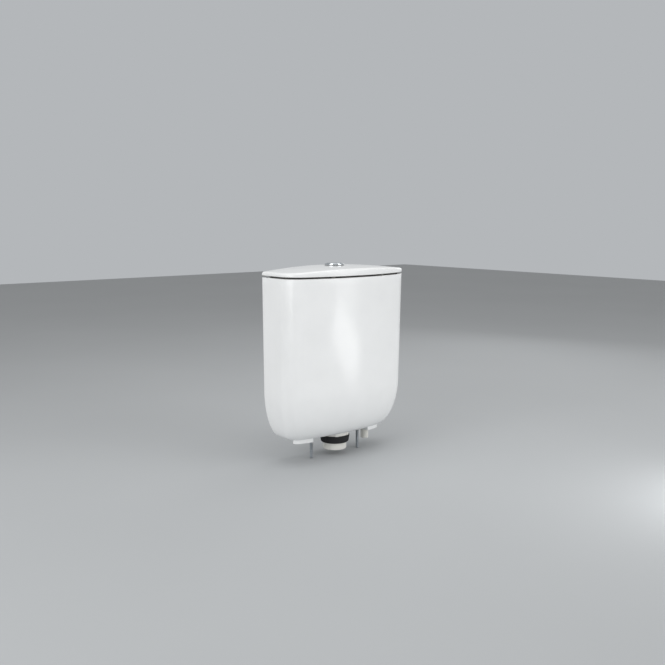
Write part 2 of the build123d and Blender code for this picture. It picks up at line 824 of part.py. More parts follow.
# Fill float: an upturned cup beside the column, with a guide ring that slides on it
cup_top = fill_head_base - float_cup_below_head
cup_base = cup_top - float_cup_height
guide_inner = column_radius + guide_ring_play
guide_outer = guide_inner + guide_ring_wall
cup_place = (inlet_offset, inlet_back - float_cup_offset)
web_front = cup_place[1] + float_cup_radius - guide_web_sink
with BuildPart() as fill_float:
    with BuildSketch(Plane.XY.offset(cup_base)):
        with Locations(cup_place):
            Circle(float_cup_radius)
    extrude(amount=float_cup_height)
    with BuildSketch(Plane.XY.offset(cup_base)):
        with Locations(cup_place):
            Circle(float_cup_radius - float_shell)
    extrude(amount=float_cup_height - float_shell, mode=Mode.SUBTRACT)
    with BuildSketch(Plane.XY.offset(cup_top - guide_ring_height)):
        with Locations(inlet_place):
            Circle(guide_outer)
        with Locations((inlet_offset, (web_front + inlet_back) / 2)):
            Rectangle(guide_web_width, inlet_back - web_front)
    extrude(amount=guide_ring_height)
    with Locations((inlet_offset, inlet_back, cup_top)):
        Hole(guide_inner, guide_ring_height + overrun)
finish(fill_float.part, "fill_float")

# Float rod and its adjusting wheel: they hang the float from the arm
arm_top = arm_height + arm_thickness / 2
adjuster_base = arm_top + adjuster_play
adjuster_top = adjuster_base + adjuster_height
float_rod_place = (inlet_offset, inlet_back - float_rod_offset)
with BuildPart() as float_rod:
    with BuildSketch(Plane.XY.offset(cup_top)):
        with Locations(float_rod_place):
            Circle(float_rod_radius)
    extrude(amount=adjuster_top + adjuster_height - cup_top)
finish(float_rod.part, "float_rod")

with BuildPart() as rod_adjuster:
    with BuildSketch(Plane.XY.offset(adjuster_base)):
        with Locations(float_rod_place):
            RegularPolygon(adjuster_radius, adjuster_sides)
            Circle(float_rod_radius + nut_fit, mode=Mode.SUBTRACT)
    extrude(amount=adjuster_height)
finish(rod_adjuster.part, "rod_adjuster")

# Float arm: pivots in front of the head; its slotted end rides on the float's rod
arm_end = float_rod_offset + arm_tip
slot_width = 2 * (float_rod_radius + arm_slot_play)
with BuildPart() as float_arm:
    with BuildSketch(Plane.XY.offset(arm_height - arm_thickness / 2)):
        with Locations((inlet_offset, inlet_back - (arm_pivot_offset + arm_end) / 2)):
            Rectangle(arm_width, arm_end - arm_pivot_offset)
        with Locations(float_rod_place):
            Circle((arm_width + slot_width) / 2)
            SlotOverall(arm_slot_length, slot_width, rotation=90, mode=Mode.SUBTRACT)
    extrude(amount=arm_thickness)
    with BuildSketch(Plane.YZ.offset(inlet_offset - arm_width / 2)):
        with Locations((pivot_y, arm_height)):
            Circle(arm_ear_radius)
    extrude(amount=arm_width)
    with BuildSketch(Plane.YZ.offset(inlet_offset - arm_width)):
        with Locations((pivot_y, arm_height)):
            Circle(pin_radius + pin_play)
    extrude(amount=2 * arm_width, mode=Mode.SUBTRACT)
finish(float_arm.part, "float_arm")

arm_pin_length = 2 * (arm_ear_middle + arm_ear_thickness / 2 + pin_overhang)
with BuildPart() as float_arm_pin:
    with BuildSketch(Plane.YZ.offset(inlet_offset - arm_pin_length / 2)):
        with Locations((pivot_y, arm_height)):
            Circle(pin_radius)
    extrude(amount=arm_pin_length)
finish(float_arm_pin.part, "float_arm_pin")

# Coupling bolts: heads inside the tank, nuts under its floor, and free threaded ends
# that go down through the pan's shelf
inner_washer_top = flange_base + steel_washer_height
bolt_nut_top = underside - steel_washer_height
bolt_nut_base = bolt_nut_top - bolt_nut_height
bolt_thread_top = bolt_nut_base - bolt_relief
with BuildPart() as coupling_bolts:
    with BuildSketch(Plane.XY.offset(-bolt_free_length)):
        with Locations(bolt_places):
            Circle(bolt_radius)
    extrude(amount=bolt_thread_top + bolt_free_length)
    with BuildSketch(Plane.XY.offset(bolt_thread_top)):
        with Locations(bolt_places):
            Circle(bolt_radius - bolt_relief)
    extrude(amount=inner_washer_top - bolt_thread_top)
    with BuildSketch(Plane.XY.offset(inner_washer_top)):
        with Locations(bolt_places):
            RegularPolygon(bolt_head_flats / 2, hex_sides, major_radius=False)
    extrude(amount=bolt_head_height)
finish(coupling_bolts.part, "coupling_bolts")

shank_radius = bolt_radius - bolt_relief
with BuildPart() as bolt_rubber_washers:
    with BuildSketch(Plane.XY.offset(floor_top)):
        with Locations(bolt_places):
            Circle(rubber_washer_radius)
            Circle(shank_radius + nut_fit, mode=Mode.SUBTRACT)
    extrude(amount=gasket_height)
finish(bolt_rubber_washers.part, "bolt_rubber_washers")

for name, base in (("inner", flange_base), ("outer", bolt_nut_top)):
    with BuildPart() as steel_washers:
        with BuildSketch(Plane.XY.offset(base)):
            with Locations(bolt_places):
                Circle(steel_washer_radius)
                Circle(shank_radius + nut_fit, mode=Mode.SUBTRACT)
        extrude(amount=steel_washer_height)
    finish(steel_washers.part, f"bolt_{name}_washers")

with BuildPart() as bolt_nuts:
    with BuildSketch(Plane.XY.offset(bolt_nut_base)):
        with Locations(bolt_places):
            RegularPolygon(bolt_head_flats / 2, hex_sides, major_radius=False)
            Circle(shank_radius + nut_fit, mode=Mode.SUBTRACT)
    extrude(amount=bolt_nut_height)
finish(bolt_nuts.part, "bolt_nuts")
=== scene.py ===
from math import acos, atan2, cos, hypot, pi, radians, sin, sqrt, tan

import bmesh
import bpy
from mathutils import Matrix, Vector


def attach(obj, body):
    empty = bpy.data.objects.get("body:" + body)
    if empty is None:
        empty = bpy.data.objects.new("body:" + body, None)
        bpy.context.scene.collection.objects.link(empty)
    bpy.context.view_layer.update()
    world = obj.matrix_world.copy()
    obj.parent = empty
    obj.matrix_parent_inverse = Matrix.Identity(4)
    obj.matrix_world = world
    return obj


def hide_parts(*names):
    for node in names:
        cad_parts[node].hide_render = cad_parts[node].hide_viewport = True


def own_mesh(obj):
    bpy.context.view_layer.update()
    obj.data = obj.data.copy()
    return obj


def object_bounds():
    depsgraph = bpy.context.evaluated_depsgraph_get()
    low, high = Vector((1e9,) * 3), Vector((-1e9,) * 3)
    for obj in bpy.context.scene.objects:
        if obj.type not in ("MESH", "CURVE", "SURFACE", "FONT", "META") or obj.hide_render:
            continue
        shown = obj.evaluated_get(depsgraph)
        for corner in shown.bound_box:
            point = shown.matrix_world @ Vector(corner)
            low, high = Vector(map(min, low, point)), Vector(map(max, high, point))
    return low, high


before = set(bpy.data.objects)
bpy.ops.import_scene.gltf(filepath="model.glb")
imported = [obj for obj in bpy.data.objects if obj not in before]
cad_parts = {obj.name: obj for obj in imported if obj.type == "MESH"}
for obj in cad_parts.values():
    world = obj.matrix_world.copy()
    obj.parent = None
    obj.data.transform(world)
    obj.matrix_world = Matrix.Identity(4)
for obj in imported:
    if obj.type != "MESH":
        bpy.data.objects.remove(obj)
cad_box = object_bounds()

# Tank: one hollow casting of vitreous china, open at the top, with a flat back, a bowed
# front that leans in towards the bottom and two low feet. It is cast in a plaster mould
# and glazed white all over, but for the feet's undersides. Lengths are in millimetres.
mm = 0.001
tank_width, tank_depth, rim, wall_line = 365.0, 150.0, 404.0, 50.0
tank_wall, underside, floor_top = 10.0, 12.0, 26.0
round_height, round_top = 123.0, 131.0
underside_half, underside_reach = 145.65, 40.0
front_corner, side_straight, side_draft = 54.0, 75.0, 1.0
back_corner, inner_back_corner, rim_roll = 6.0, 14.0, 2.0

low_fall = (rim - underside) / rim
low_draw_in = 1 - sqrt(1 - ((round_top - underside) / round_height) ** 2)
front_come_in = tank_depth - wall_line - underside_reach
front_lean = front_come_in / 4
round_front = (front_come_in - front_lean * low_fall) / low_draw_in
round_side = (tank_width / 2 - underside_half - side_draft * low_fall) / low_draw_in


def plan_sizes(height, inset):
    """The D-shaped plan at one height: its half width, corner, shoulder and front arc."""
    fall = (rim - height) / rim
    dip = max(round_top - height, 0) / round_height
    draw_in = 1 - sqrt(1 - dip**2)
    depth = tank_depth - front_lean * fall - round_front * draw_in
    half = tank_width / 2 - side_draft * fall - round_side * draw_in - inset
    radius = front_corner * depth / tank_depth - inset
    shoulder = wall_line - side_straight * depth / tank_depth
    reach = shoulder - wall_line + depth - inset
    front_radius = ((half - radius) ** 2 + reach**2 - radius**2) / (2 * (reach - radius))
    return half, radius, shoulder, front_radius, shoulder - reach + front_radius


def arc(centre, radius, start, end, steps):
    """Points along an arc, without its first one."""
    turns = (start + (end - start) * step / steps for step in range(1, steps + 1))
    return [(centre[0] + radius * cos(turn), centre[1] + radius * sin(turn)) for turn in turns]


def plan_ring(height, inset, back_radius, back):
    """Points round that plan, anticlockwise from the middle of its front."""
    half, radius, shoulder, front_radius, front_centre = plan_sizes(height, inset)
    turn = atan2(shoulder - front_centre, half - radius)
    right = [(0, front_centre - front_radius)]
    right += arc((0, front_centre), front_radius, -pi / 2, turn, 32)
    right += arc((half - radius, shoulder), radius, turn, 0, 20)
    right += [(half, shoulder + (back - back_radius - shoulder) * step / 12) for step in range(1, 13)]
    right += arc((half - back_radius, back - back_radius), back_radius, 0, pi / 2, 6)
    right += [((half - back_radius) * (1 - step / 24), back) for step in range(1, 25)]
    left = [(-x, y) for x, y in reversed(right[1:-1])]
    return [(x, y, height) for x, y in right + left]


def add_piece(name, mesh):
    """A new object with that mesh, smooth but for its sharp edges."""
    mesh.shade_smooth()
    mesh.set_sharp_from_angle(angle=radians(30))
    piece = bpy.data.objects.new(name, mesh)
    bpy.context.collection.objects.link(piece)
    return piece


def skin(name, rings, loop=False):
    """A closed mesh through rings of points: its ends are capped, or joined in a loop."""
    count, levels = len(rings[0]), len(rings)
    faces = []
    for level in range(levels if loop else levels - 1):
        low, high = level * count, (level + 1) % levels * count
        for here in range(count):
            there = (here + 1) % count
            faces.append((low + here, low + there, high + there, high + here))
    if not loop:
        faces.append(tuple(reversed(range(count))))
        faces.append(tuple(range((levels - 1) * count, levels * count)))
    mesh = bpy.data.meshes.new(name)
    mesh.from_pydata([Vector(point) * mm for ring in rings for point in ring], [], faces)
    return add_piece(name, mesh)


def settle(piece):
    """Turns a piece and its modifiers into one plain mesh."""
    graph = bpy.context.evaluated_depsgraph_get()
    mesh = bpy.data.meshes.new_from_object(piece.evaluated_get(graph))
    piece.modifiers.clear()
    piece.data = mesh
    mesh.shade_smooth()
    mesh.set_sharp_from_angle(angle=radians(30))
    return piece


def combine(piece, how, *tools):
    """Joins closed tools to a piece, or cuts them out of it, and removes them."""
    for tool in tools:
        modifier = piece.modifiers.new(tool.name, "BOOLEAN")
        modifier.operation, modifier.solver, modifier.object = how, "EXACT", tool
    settle(piece)
    for tool in tools:
        bpy.data.objects.remove(tool)


def round_edges(piece, radius, steps=3, angle=40):
    """Rounds a piece's sharp edges, as a mould leaves them."""
    modifier = piece.modifiers.new("edges", "BEVEL")
    modifier.width, modifier.segments = radius * mm, steps
    modifier.limit_method, modifier.angle_limit = "ANGLE", radians(angle)
    return settle(piece)


def circle(radius, height, centre=(0, 0), sides=96):
    """A ring of points round an upright axis."""
    turns = (2 * pi * side / sides for side in range(sides))
    return [(centre[0] + radius * cos(turn), centre[1] + radius * sin(turn), height) for turn in turns]


def tint(code):
    """An sRGB hex colour as linear RGBA."""
    parts = [int(code[at:at + 2], 16) / 255 for at in (1, 3, 5)]
    return [part / 12.92 if part <= 0.04045 else ((part + 0.055) / 1.055) ** 2.4 for part in parts] + [1]


def add(tree, kind, inputs=None, **settings):
    """Adds a node with its settings, and gives each input a value or the socket that feeds it."""
    node = tree.nodes.new(kind)
    for name, value in settings.items():
        setattr(node, name, value)
    for name, value in (inputs or {}).items():
        if isinstance(value, bpy.types.NodeSocket):
            tree.links.new(value, node.inputs[name])
        else:
            node.inputs[name].default_value = value
    return node


def surface(name, colours, patch, roughness, grain, relief, **sockets):
    """A material whose colour, roughness and relief vary as the real surface's do.

    Patches of the size patch mix the two colours and the two roughnesses; grain is the
    relief's spacing and relief its height, all in millimetres.
    """
    material = bpy.data.materials.new(name)
    material.use_nodes = True
    tree = material.node_tree
    tree.nodes.clear()
    place = add(tree, "ShaderNodeTexCoord").outputs["Object"]
    patches = add(tree, "ShaderNodeTexNoise", {"Vector": place, "Scale": 1 / (patch * mm), "Detail": 3.0})
    blend = patches.outputs["Fac"]
    colour = add(tree, "ShaderNodeValToRGB", {"Fac": blend})
    for stop, position, code in zip(colour.color_ramp.elements, (0.3, 0.7), colours):
        stop.position, stop.color = position, tint(code)
    rough = add(tree, "ShaderNodeMapRange", {"Value": blend, "To Min": roughness[0], "To Max": roughness[1]})
    grains = add(tree, "ShaderNodeTexNoise", {"Vector": place, "Scale": 1 / (grain * mm), "Detail": 2.0})
    bump = add(tree, "ShaderNodeBump", {"Height": grains.outputs["Fac"], "Distance": relief * mm})
    shader = add(tree, "ShaderNodeBsdfPrincipled", {
        "Base Color": colour.outputs["Color"], "Roughness": rough.outputs["Result"],
        "Normal": bump.outputs["Normal"], **sockets})
    add(tree, "ShaderNodeOutputMaterial", {"Surface": shader.outputs["BSDF"]})
    return material


def stand_in(piece, body, slot, *nodes):
    """The piece moves with a body and stands for CAD nodes, which it hides."""
    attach(piece, body)
    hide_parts(*nodes)


# Vitreous china under a clear white glaze, fired glossy: the glaze lies in slow waves
# that soften the edges of reflections, with a faint orange peel on them
china = surface("glazed_vitreous_china", ("#f3f4f4", "#f6f7f7"), 60, (0.15, 0.21), 5, 0.004,
                **{"IOR": 1.5})
glaze = china.node_tree
waves = add(glaze, "ShaderNodeTexNoise", {
    "Vector": glaze.nodes["Texture Coordinate"].outputs["Object"], "Scale": 14.0, "Detail": 1.0})
slow = add(glaze, "ShaderNodeBump", {"Height": waves.outputs["Fac"], "Distance": 0.0006})
glaze.links.new(slow.outputs["Normal"], glaze.nodes["Bump"].inputs["Normal"])

# Bare fired body on the feet's undersides, where the glaze is wiped off: matt and gritty
bisque = surface("unglazed_china", ("#ddd8cc", "#e7e3d9"), 8, (0.8, 0.95), 0.9, 0.12)

edge_inset, edge_rise = 1.22, 0.68
inner_edge_inset, inner_edge_rise = 2.19, 1.84
rings = []
for step in range(5):
    share = step / 4
    inset = edge_inset * (1 - share) ** 2
    rings.append(plan_ring(underside + edge_rise * share**2, inset, back_corner - inset, wall_line - inset))
steepest = acos(sqrt(1 - ((round_top - underside - edge_rise) / round_height) ** 2))
rounding = [round_top - round_height * sin(steepest * (1 - step / 26)) for step in range(1, 27)]
upright = [round_top + (rim - rim_roll - round_top) * step / 16 for step in range(1, 17)]
for height in rounding + upright:
    rings.append(plan_ring(height, 0, back_corner, wall_line))
for step in range(1, 7):
    turn = pi / 2 * step / 6
    inset = rim_roll * (1 - cos(turn))
    height = rim - rim_roll * (1 - sin(turn))
    rings.append(plan_ring(height, inset, back_corner - inset, wall_line - inset))
for step in range(7):
    turn = pi / 2 * step / 6
    inset = tank_wall - rim_roll * (1 - sin(turn))
    height = rim - rim_roll * (1 - cos(turn))
    rings.append(plan_ring(height, inset, inner_back_corner + tank_wall - inset, wall_line - inset))
inner_steepest = acos(sqrt(1 - ((round_top - floor_top - inner_edge_rise) / round_height) ** 2))
inner_rounding = [round_top - round_height * sin(inner_steepest * step / 26) for step in range(27)]
for height in list(reversed(upright[:-1])) + inner_rounding:
    rings.append(plan_ring(height, tank_wall, inner_back_corner, wall_line - tank_wall))
for step in range(1, 6):
    share = step / 5
    inset = tank_wall + inner_edge_inset * share**2
    height = floor_top + inner_edge_rise * (1 - share) ** 2
    rings.append(plan_ring(height, inset, inner_back_corner - inset + tank_wall, wall_line - inset))
tank = skin("china_tank", rings)

# The feet, which the tank stands on and which are cast in one with it
foot_inner, foot_outer, foot_back, foot_inset = 88.0, 135.0, -5.4, 6.0
half, radius, shoulder, front_radius, front_centre = plan_sizes(underside, foot_inset)
front_end = half - radius + radius * cos(atan2(shoulder - front_centre, half - radius))
for side in (-1, 1):
    outline = [(foot_inner, foot_back), (foot_outer, foot_back)]
    for step in range(25):
        x = foot_outer + (foot_inner - foot_outer) * step / 24
        on_front = x < front_end
        middle, bow, reach = (0, front_radius, front_centre) if on_front else (half - radius, radius, shoulder)
        outline.append((x, reach - sqrt(bow**2 - (x - middle) ** 2)))
    outline = [(side * x, y) for x, y in outline[::-side]]
    foot = skin(f"foot_{side}", [[(x, y, height) for x, y in outline] for height in (0, underside + 4)])
    round_edges(foot, 1.2, 4, 50)
    combine(tank, "UNION", foot)

# The holes in its floor and back are cut while the clay is soft. Those in the floor are
# given by their radius and their place.
holes = [(31.5, 0, 0), (5.5, -75, 0), (5.5, 75, 0), (11.5, 112, 14)]
for radius, x, y in holes:
    combine(tank, "DIFFERENCE", skin("hole", [circle(radius, height, (x, y), 66) for height in (2, 40)]))
wall_hole_radius, wall_hole_side, wall_hole_height = 4.0, 110.0, 352.0
for side in (-wall_hole_side, wall_hole_side):
    bore = []
    for level in (0, 30):
        turned_back = circle(wall_hole_radius, level, sides=32)
        bore.append([(side + x, wall_line + 8 - depth, wall_hole_height + y) for x, y, depth in turned_back])
    combine(tank, "DIFFERENCE", skin("wall_hole", bore))
tank.data.materials.append(china)
tank.data.materials.append(bisque)
for face in tank.data.polygons:
    face.material_index = int(face.center.z < 0.2 * mm and face.normal.z < -0.9)
stand_in(tank, "cistern", "glazed_china", "tank_body")


# Valve base: the flush valve's foot, a flange on the tank's floor with a raised seat and
# a wide threaded tail that carries the water down out of it. It is moulded in white ABS.


def eased(profile, steps=4):
    """A closed profile of (across, up, radius) corners with each corner rounded."""
    points = []
    for before, here, after in zip(profile[-1:] + profile[:-1], profile, profile[1:] + profile[:1]):
        corner = Vector(here[:2])
        if not here[2]:
            points.append(corner)
            continue
        back, on = ((Vector(point[:2]) - corner).normalized() for point in (before, after))
        half_angle = back.angle(on) / 2
        centre = corner + (back + on).normalized() * here[2] / sin(half_angle)
        start = (corner + back * here[2] / tan(half_angle) - centre).normalized()
        end = (corner + on * here[2] / tan(half_angle) - centre).normalized()
        points += [centre + start.slerp(end, step / steps) * here[2] for step in range(steps + 1)]
    return points


def turned(name, profile, centre=(0, 0), sides=96, loop=True, steps=4):
    """A piece turned round an upright axis from a profile of (radius, height, rounding)."""
    return skin(name, [circle(across, up, centre, sides) for across, up in eased(profile, steps)], loop)


def new_tree(name, sockets):
    """A Geometry Nodes tree with its inputs, given as (label, kind) pairs, and their outputs."""
    tree = bpy.data.node_groups.new(name, "GeometryNodeTree")
    for label, kind in (*sockets, ("Material", "Material")):
        tree.interface.new_socket(label, in_out="INPUT", socket_type="NodeSocket" + kind)
    tree.interface.new_socket("Geometry", in_out="OUTPUT", socket_type="NodeSocketGeometry")
    return tree, add(tree, "NodeGroupInput").outputs


def end_tree(tree, geometry, given):
    """Ends a tree: its instances are made real and take the material."""
    whole = add(tree, "GeometryNodeRealizeInstances", {"Geometry": geometry})
    coated = add(tree, "GeometryNodeSetMaterial", {"Geometry": whole.outputs[0], "Material": given["Material"]})
    add(tree, "NodeGroupOutput", {"Geometry": coated.outputs[0]})
    return tree


def coil_tree():
    """A tree that winds a wire, or a thread's ridge, round an upright axis."""
    tree, given = new_tree("coil", (
        ("Radius", "Float"), ("Pitch", "Float"), ("Turns", "Float"), ("Wire", "Float"), ("Sides", "Int"),
        ("Steps", "Int"), ("Base", "Vector")))
    height = add(tree, "ShaderNodeMath", {0: given["Pitch"], 1: given["Turns"]}, operation="MULTIPLY")
    path = add(tree, "GeometryNodeCurveSpiral", {
        "Resolution": given["Steps"], "Rotations": given["Turns"], "Start Radius": given["Radius"],
        "End Radius": given["Radius"], "Height": height.outputs[0]})
    level = add(tree, "GeometryNodeSetCurveNormal", {"Curve": path.outputs[0]}, mode="Z_UP")
    section = add(tree, "GeometryNodeCurvePrimitiveCircle", {
        "Resolution": given["Sides"], "Radius": given["Wire"]})
    wire = add(tree, "GeometryNodeCurveToMesh", {
        "Curve": level.outputs[0], "Profile Curve": section.outputs[0], "Fill Caps": True})
    placed = add(tree, "GeometryNodeTransform", {"Geometry": wire.outputs[0], "Translation": given["Base"]})
    return end_tree(tree, placed.outputs[0], given)


def grow(name, tree, values, start=None):
    """Runs a Geometry Nodes tree once and keeps what it makes as a plain mesh."""
    piece = add_piece(name, start or bpy.data.meshes.new(name))
    modifier = piece.modifiers.new(name, "NODES")
    modifier.node_group = tree
    for item in tree.interface.items_tree:
        if item.name in values:
            modifier[item.identifier] = values[item.name]
    return settle(piece)


def thread(name, material, crest, depth, pitch, base, top, centre=(0, 0), steps=48):
    """A screw thread's ridge between two heights, out to its crest."""
    return grow(name, coil, {
        "Radius": (crest - depth) * mm, "Pitch": pitch * mm, "Turns": (top - base) / pitch,
        "Wire": depth * mm, "Sides": 4, "Steps": steps, "Base": Vector((*centre, base)) * mm,
        "Material": material})


def fuse(piece, *others):
    """Adds other pieces' meshes to a piece of the same material, and removes them."""
    mesh = bmesh.new()
    for part in (piece, *others):
        mesh.from_mesh(part.data)
    mesh.to_mesh(piece.data)
    mesh.free()
    for part in others:
        bpy.data.objects.remove(part)
    return piece


def finished(piece, material, body, slot, *nodes):
    """Gives a piece its material and its place on a body, and hides the CAD nodes it stands for."""
    piece.data.materials.clear()
    piece.data.materials.append(material)
    stand_in(piece, body, slot, *nodes)


# White ABS, injection moulded in a lightly spark-eroded tool: a satin skin with a fine grain
abs_white = surface("moulded_white_abs", ("#e5e4de", "#ebeae5"), 25, (0.34, 0.44), 0.8, 0.006)

coil = coil_tree()
tail, tail_neck, tail_bore, ridge = 29.8, 29.4, 25.0, 0.8
tail_end, tail_top = -34.0, -17.0
flange, flange_base, flange_top = 36.0, 29.0, 33.0
valve_seat, seat_top = 28.5, 38.0
base = turned("valve_base", [
    (tail - ridge, tail_end, 1), (tail - ridge, tail_top - 0.6, 0), (tail_neck, tail_top, 0),
    (tail_neck, flange_base, 0.3), (flange, flange_base, 0.5), (flange, flange_top, 1),
    (valve_seat, flange_top, 0.6), (valve_seat, seat_top, 0.8), (tail_bore, seat_top, 1.2),
    (tail_bore, tail_end, 0.8)])
fuse(base, thread("tail_thread", abs_white, tail, ridge, 3, tail_end + 1.5, tail_top - 1.5))
finished(base, abs_white, "cistern", "white_plastic", "flush_valve_base")

# Black EPDM rubber, pressed in a steel mould: dull, with a faint dusty bloom
epdm = surface("pressed_epdm_rubber", ("#161617", "#212122"), 6, (0.6, 0.8), 0.5, 0.01)
neck_clear = 29.45
gasket = turned("valve_gasket_ring", [
    (flange, floor_top, 0.7), (flange, flange_base, 0.7), (neck_clear, flange_base, 0.3),
    (neck_clear, floor_top, 0.3)])
finished(gasket, epdm, "cistern", "black_rubber", "valve_gasket")


# Backnut and coupling seal: the nut of white ABS is screwed up under the floor by six lugs,
# and a soft tapered ring of foam rubber round the tail seals the joint below
def around_tree():
    """A tree that sets a piece round an axis at even angles."""
    tree, given = new_tree("around", (
        ("Piece", "Object"), ("Count", "Int"), ("Radius", "Float"), ("Turn", "Float"), ("Centre", "Vector")))
    spots = add(tree, "GeometryNodeMeshCircle", {"Vertices": given["Count"], "Radius": given["Radius"]})
    piece = add(tree, "GeometryNodeObjectInfo", {"Object": given["Piece"]})
    index = add(tree, "GeometryNodeInputIndex")
    share = add(tree, "ShaderNodeMath", {0: index.outputs[0], 1: given["Count"]}, operation="DIVIDE")
    turn = add(tree, "ShaderNodeMath", {0: share.outputs[0], 1: 2 * pi}, operation="MULTIPLY")
    facing = add(tree, "ShaderNodeCombineXYZ", {"Z": turn.outputs[0]})
    copies = add(tree, "GeometryNodeInstanceOnPoints", {
        "Points": spots.outputs[0], "Instance": piece.outputs["Geometry"], "Rotation": facing.outputs[0]})
    turned_all = add(tree, "ShaderNodeCombineXYZ", {"Z": given["Turn"]})
    placed = add(tree, "GeometryNodeTransform", {
        "Geometry": copies.outputs[0], "Translation": given["Centre"], "Rotation": turned_all.outputs[0]})
    return end_tree(tree, placed.outputs[0], given)


def ring_of(name, piece, material, count, radius, centre=(0, 0), turn=0):
    """Copies of a piece set round an axis; the piece itself is used up."""
    made = grow(name, around, {"Piece": piece, "Count": count, "Radius": radius * mm, "Turn": turn,
                               "Centre": Vector((*centre, 0)) * mm, "Material": material})
    bpy.data.objects.remove(piece)
    return made


def bar(name, size, base, round_to):
    """An upright bar of (depth, width, height) on its own axis, with rounded edges."""
    depth, width = size[0] / 2, size[1] / 2
    outline = [(-depth, -width), (depth, -width), (depth, width), (-depth, width)]
    ends = [[(x, y, level) for x, y in outline] for level in (base, base + size[2])]
    return round_edges(skin(name, ends), round_to)


around = around_tree()
nut_rim, nut_base, lug_size = 34.4, 2.0, (3.2, 9, 10)
backnut = turned("backnut", [
    (nut_rim, nut_base, 1), (nut_rim, underside, 0.8), (neck_clear, underside, 0.5),
    (neck_clear, nut_base, 0.8)])
fuse(backnut, ring_of("backnut_lugs", bar("lug", lug_size, nut_base, 0.5), abs_white, 6, nut_rim))
finished(backnut, abs_white, "cistern", "white_plastic", "flush_backnut")

# Closed-cell foam rubber, cut and skived: matt black, with open pores on its faces
foam = surface("closed_cell_foam_rubber", ("#19191a", "#2b2b2c"), 1.4, (0.85, 0.95), 1.2, 0.25)
seal_base, seal_top, seal_bore = -16.0, 1.7, 29.7
seal = turned("coupling_seal_ring", [
    (35, seal_base, 2), (38, seal_top, 2), (seal_bore, seal_top, 1), (seal_bore, seal_base, 1)])
finished(seal, foam, "cistern", "foam_rubber", "coupling_seal")


# Cage, tower and head: the flush valve's frame. The cage has windows where the water runs
# in, the tower carries the head over it, and the head's ears hold the levers' pin.
def moulded(name, node, edge, material, body, slot, angle=40):
    """Makes a piece from a CAD node, its faces joined and its edges rounded as a mould leaves them."""
    mesh = bmesh.new()
    mesh.from_mesh(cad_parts[node].data)
    bmesh.ops.remove_doubles(mesh, verts=mesh.verts, dist=2e-6)
    bmesh.ops.dissolve_limit(mesh, angle_limit=radians(0.5), verts=mesh.verts, edges=mesh.edges)
    data = bpy.data.meshes.new(name)
    mesh.to_mesh(data)
    mesh.free()
    finished(round_edges(add_piece(name, data), edge, 2, angle), material, body, slot, node)


# Grey polypropylene: a slightly waxy, duller skin than the ABS
grey_pp = surface("moulded_grey_polypropylene", ("#898e90", "#94999a"), 20, (0.45, 0.55), 0.9, 0.01)
moulded("valve_cage_drum", "flush_valve_cage", 0.5, grey_pp, "cistern", "grey_plastic")
moulded("valve_tower_frame", "valve_tower", 0.6, abs_white, "cistern", "white_plastic")
moulded("valve_head_plate", "valve_head", 0.5, abs_white, "cistern", "white_plastic")

# Stainless steel wire and pins, drawn bright: fine grey streaks, half polished
stainless = surface("drawn_stainless_steel", ("#a5a7a9", "#b5b7b8"), 4, (0.18, 0.3), 0.4, 0.002, Metallic=1.0)
moulded("levers_pin", "lever_pin", 0.3, stainless, "cistern", "spring_steel")

# Levers: two see-saws on the one pin, coloured so that the fitter can tell them apart.
# A push rod presses one arm down and the other arm lifts the tube or the float.
# Acetal, moulded: hard, slippery and slightly glossy, coloured right through
blue_acetal = surface("moulded_blue_acetal", ("#1c569e", "#2260aa"), 12, (0.28, 0.38), 0.9, 0.006)
green_acetal = surface("moulded_green_acetal", ("#1f8c54", "#28975e"), 12, (0.28, 0.38), 0.9, 0.006)
for name, material, slot in (("full", blue_acetal, "blue_plastic"), ("half", green_acetal, "green_plastic")):
    moulded(f"{name}_lever_arm", f"{name}_flush_lever", 0.5, material, f"{name}_lever", slot)

# Overflow tube: the valve's moving part, a tube with a flange that presses a silicone
# ring on the seat. A retainer below clips the ring on, and a yoke at the top lifts it.
tube_radius, tube_bore, tube_base, tube_top = 14.0, 12.0, 41.3, 308.0
tube_flange, tube_flange_top = 22.0, 44.3
tube = turned("standpipe", [
    (tube_flange, tube_base, 0.6), (tube_flange, tube_flange_top, 0.8), (tube_radius, tube_flange_top, 0.4),
    (tube_radius, tube_top, 0.7), (tube_bore, tube_top, 0.7), (tube_bore, tube_base, 0.5)])
finished(tube, grey_pp, "flush_tube", "grey_plastic", "overflow_tube")

# Red silicone rubber: soft satin with a fine bloom
silicone = surface("red_silicone_rubber", ("#99322a", "#a83a2f"), 7, (0.45, 0.6), 0.6, 0.008)
flap_radius, flap_base, flap_bore = 27.5, 38.3, 12.2
flap = turned("seat_seal", [
    (flap_radius, flap_base, 1), (flap_radius, tube_base, 1), (flap_bore, tube_base, 0.3),
    (flap_bore, flap_base, 0.3)])
finished(flap, silicone, "flush_tube", "red_silicone", "flush_seal")
clip_radius, clip_base = 18.0, 36.0
clip = turned("seal_clip", [
    (clip_radius, clip_base, 0.8), (clip_radius, flap_base, 0.4), (flap_bore, flap_base, 0.2),
    (flap_bore, clip_base, 0.4)])
finished(clip, abs_white, "flush_tube", "white_plastic", "seal_retainer")
moulded("tube_yoke", "lift_yoke", 0.5, blue_acetal, "flush_tube", "blue_plastic")

# Half-flush float: an upturned ring cup round the tube, which shuts the valve early, and
# the strap that the half lever lifts it by. Both are moulded in green acetal.
moulded("float_cup_ring", "half_flush_float", 0.7, green_acetal, "half_float", "green_plastic")
moulded("float_strap", "half_lift_strap", 0.5, green_acetal, "half_float", "green_plastic")

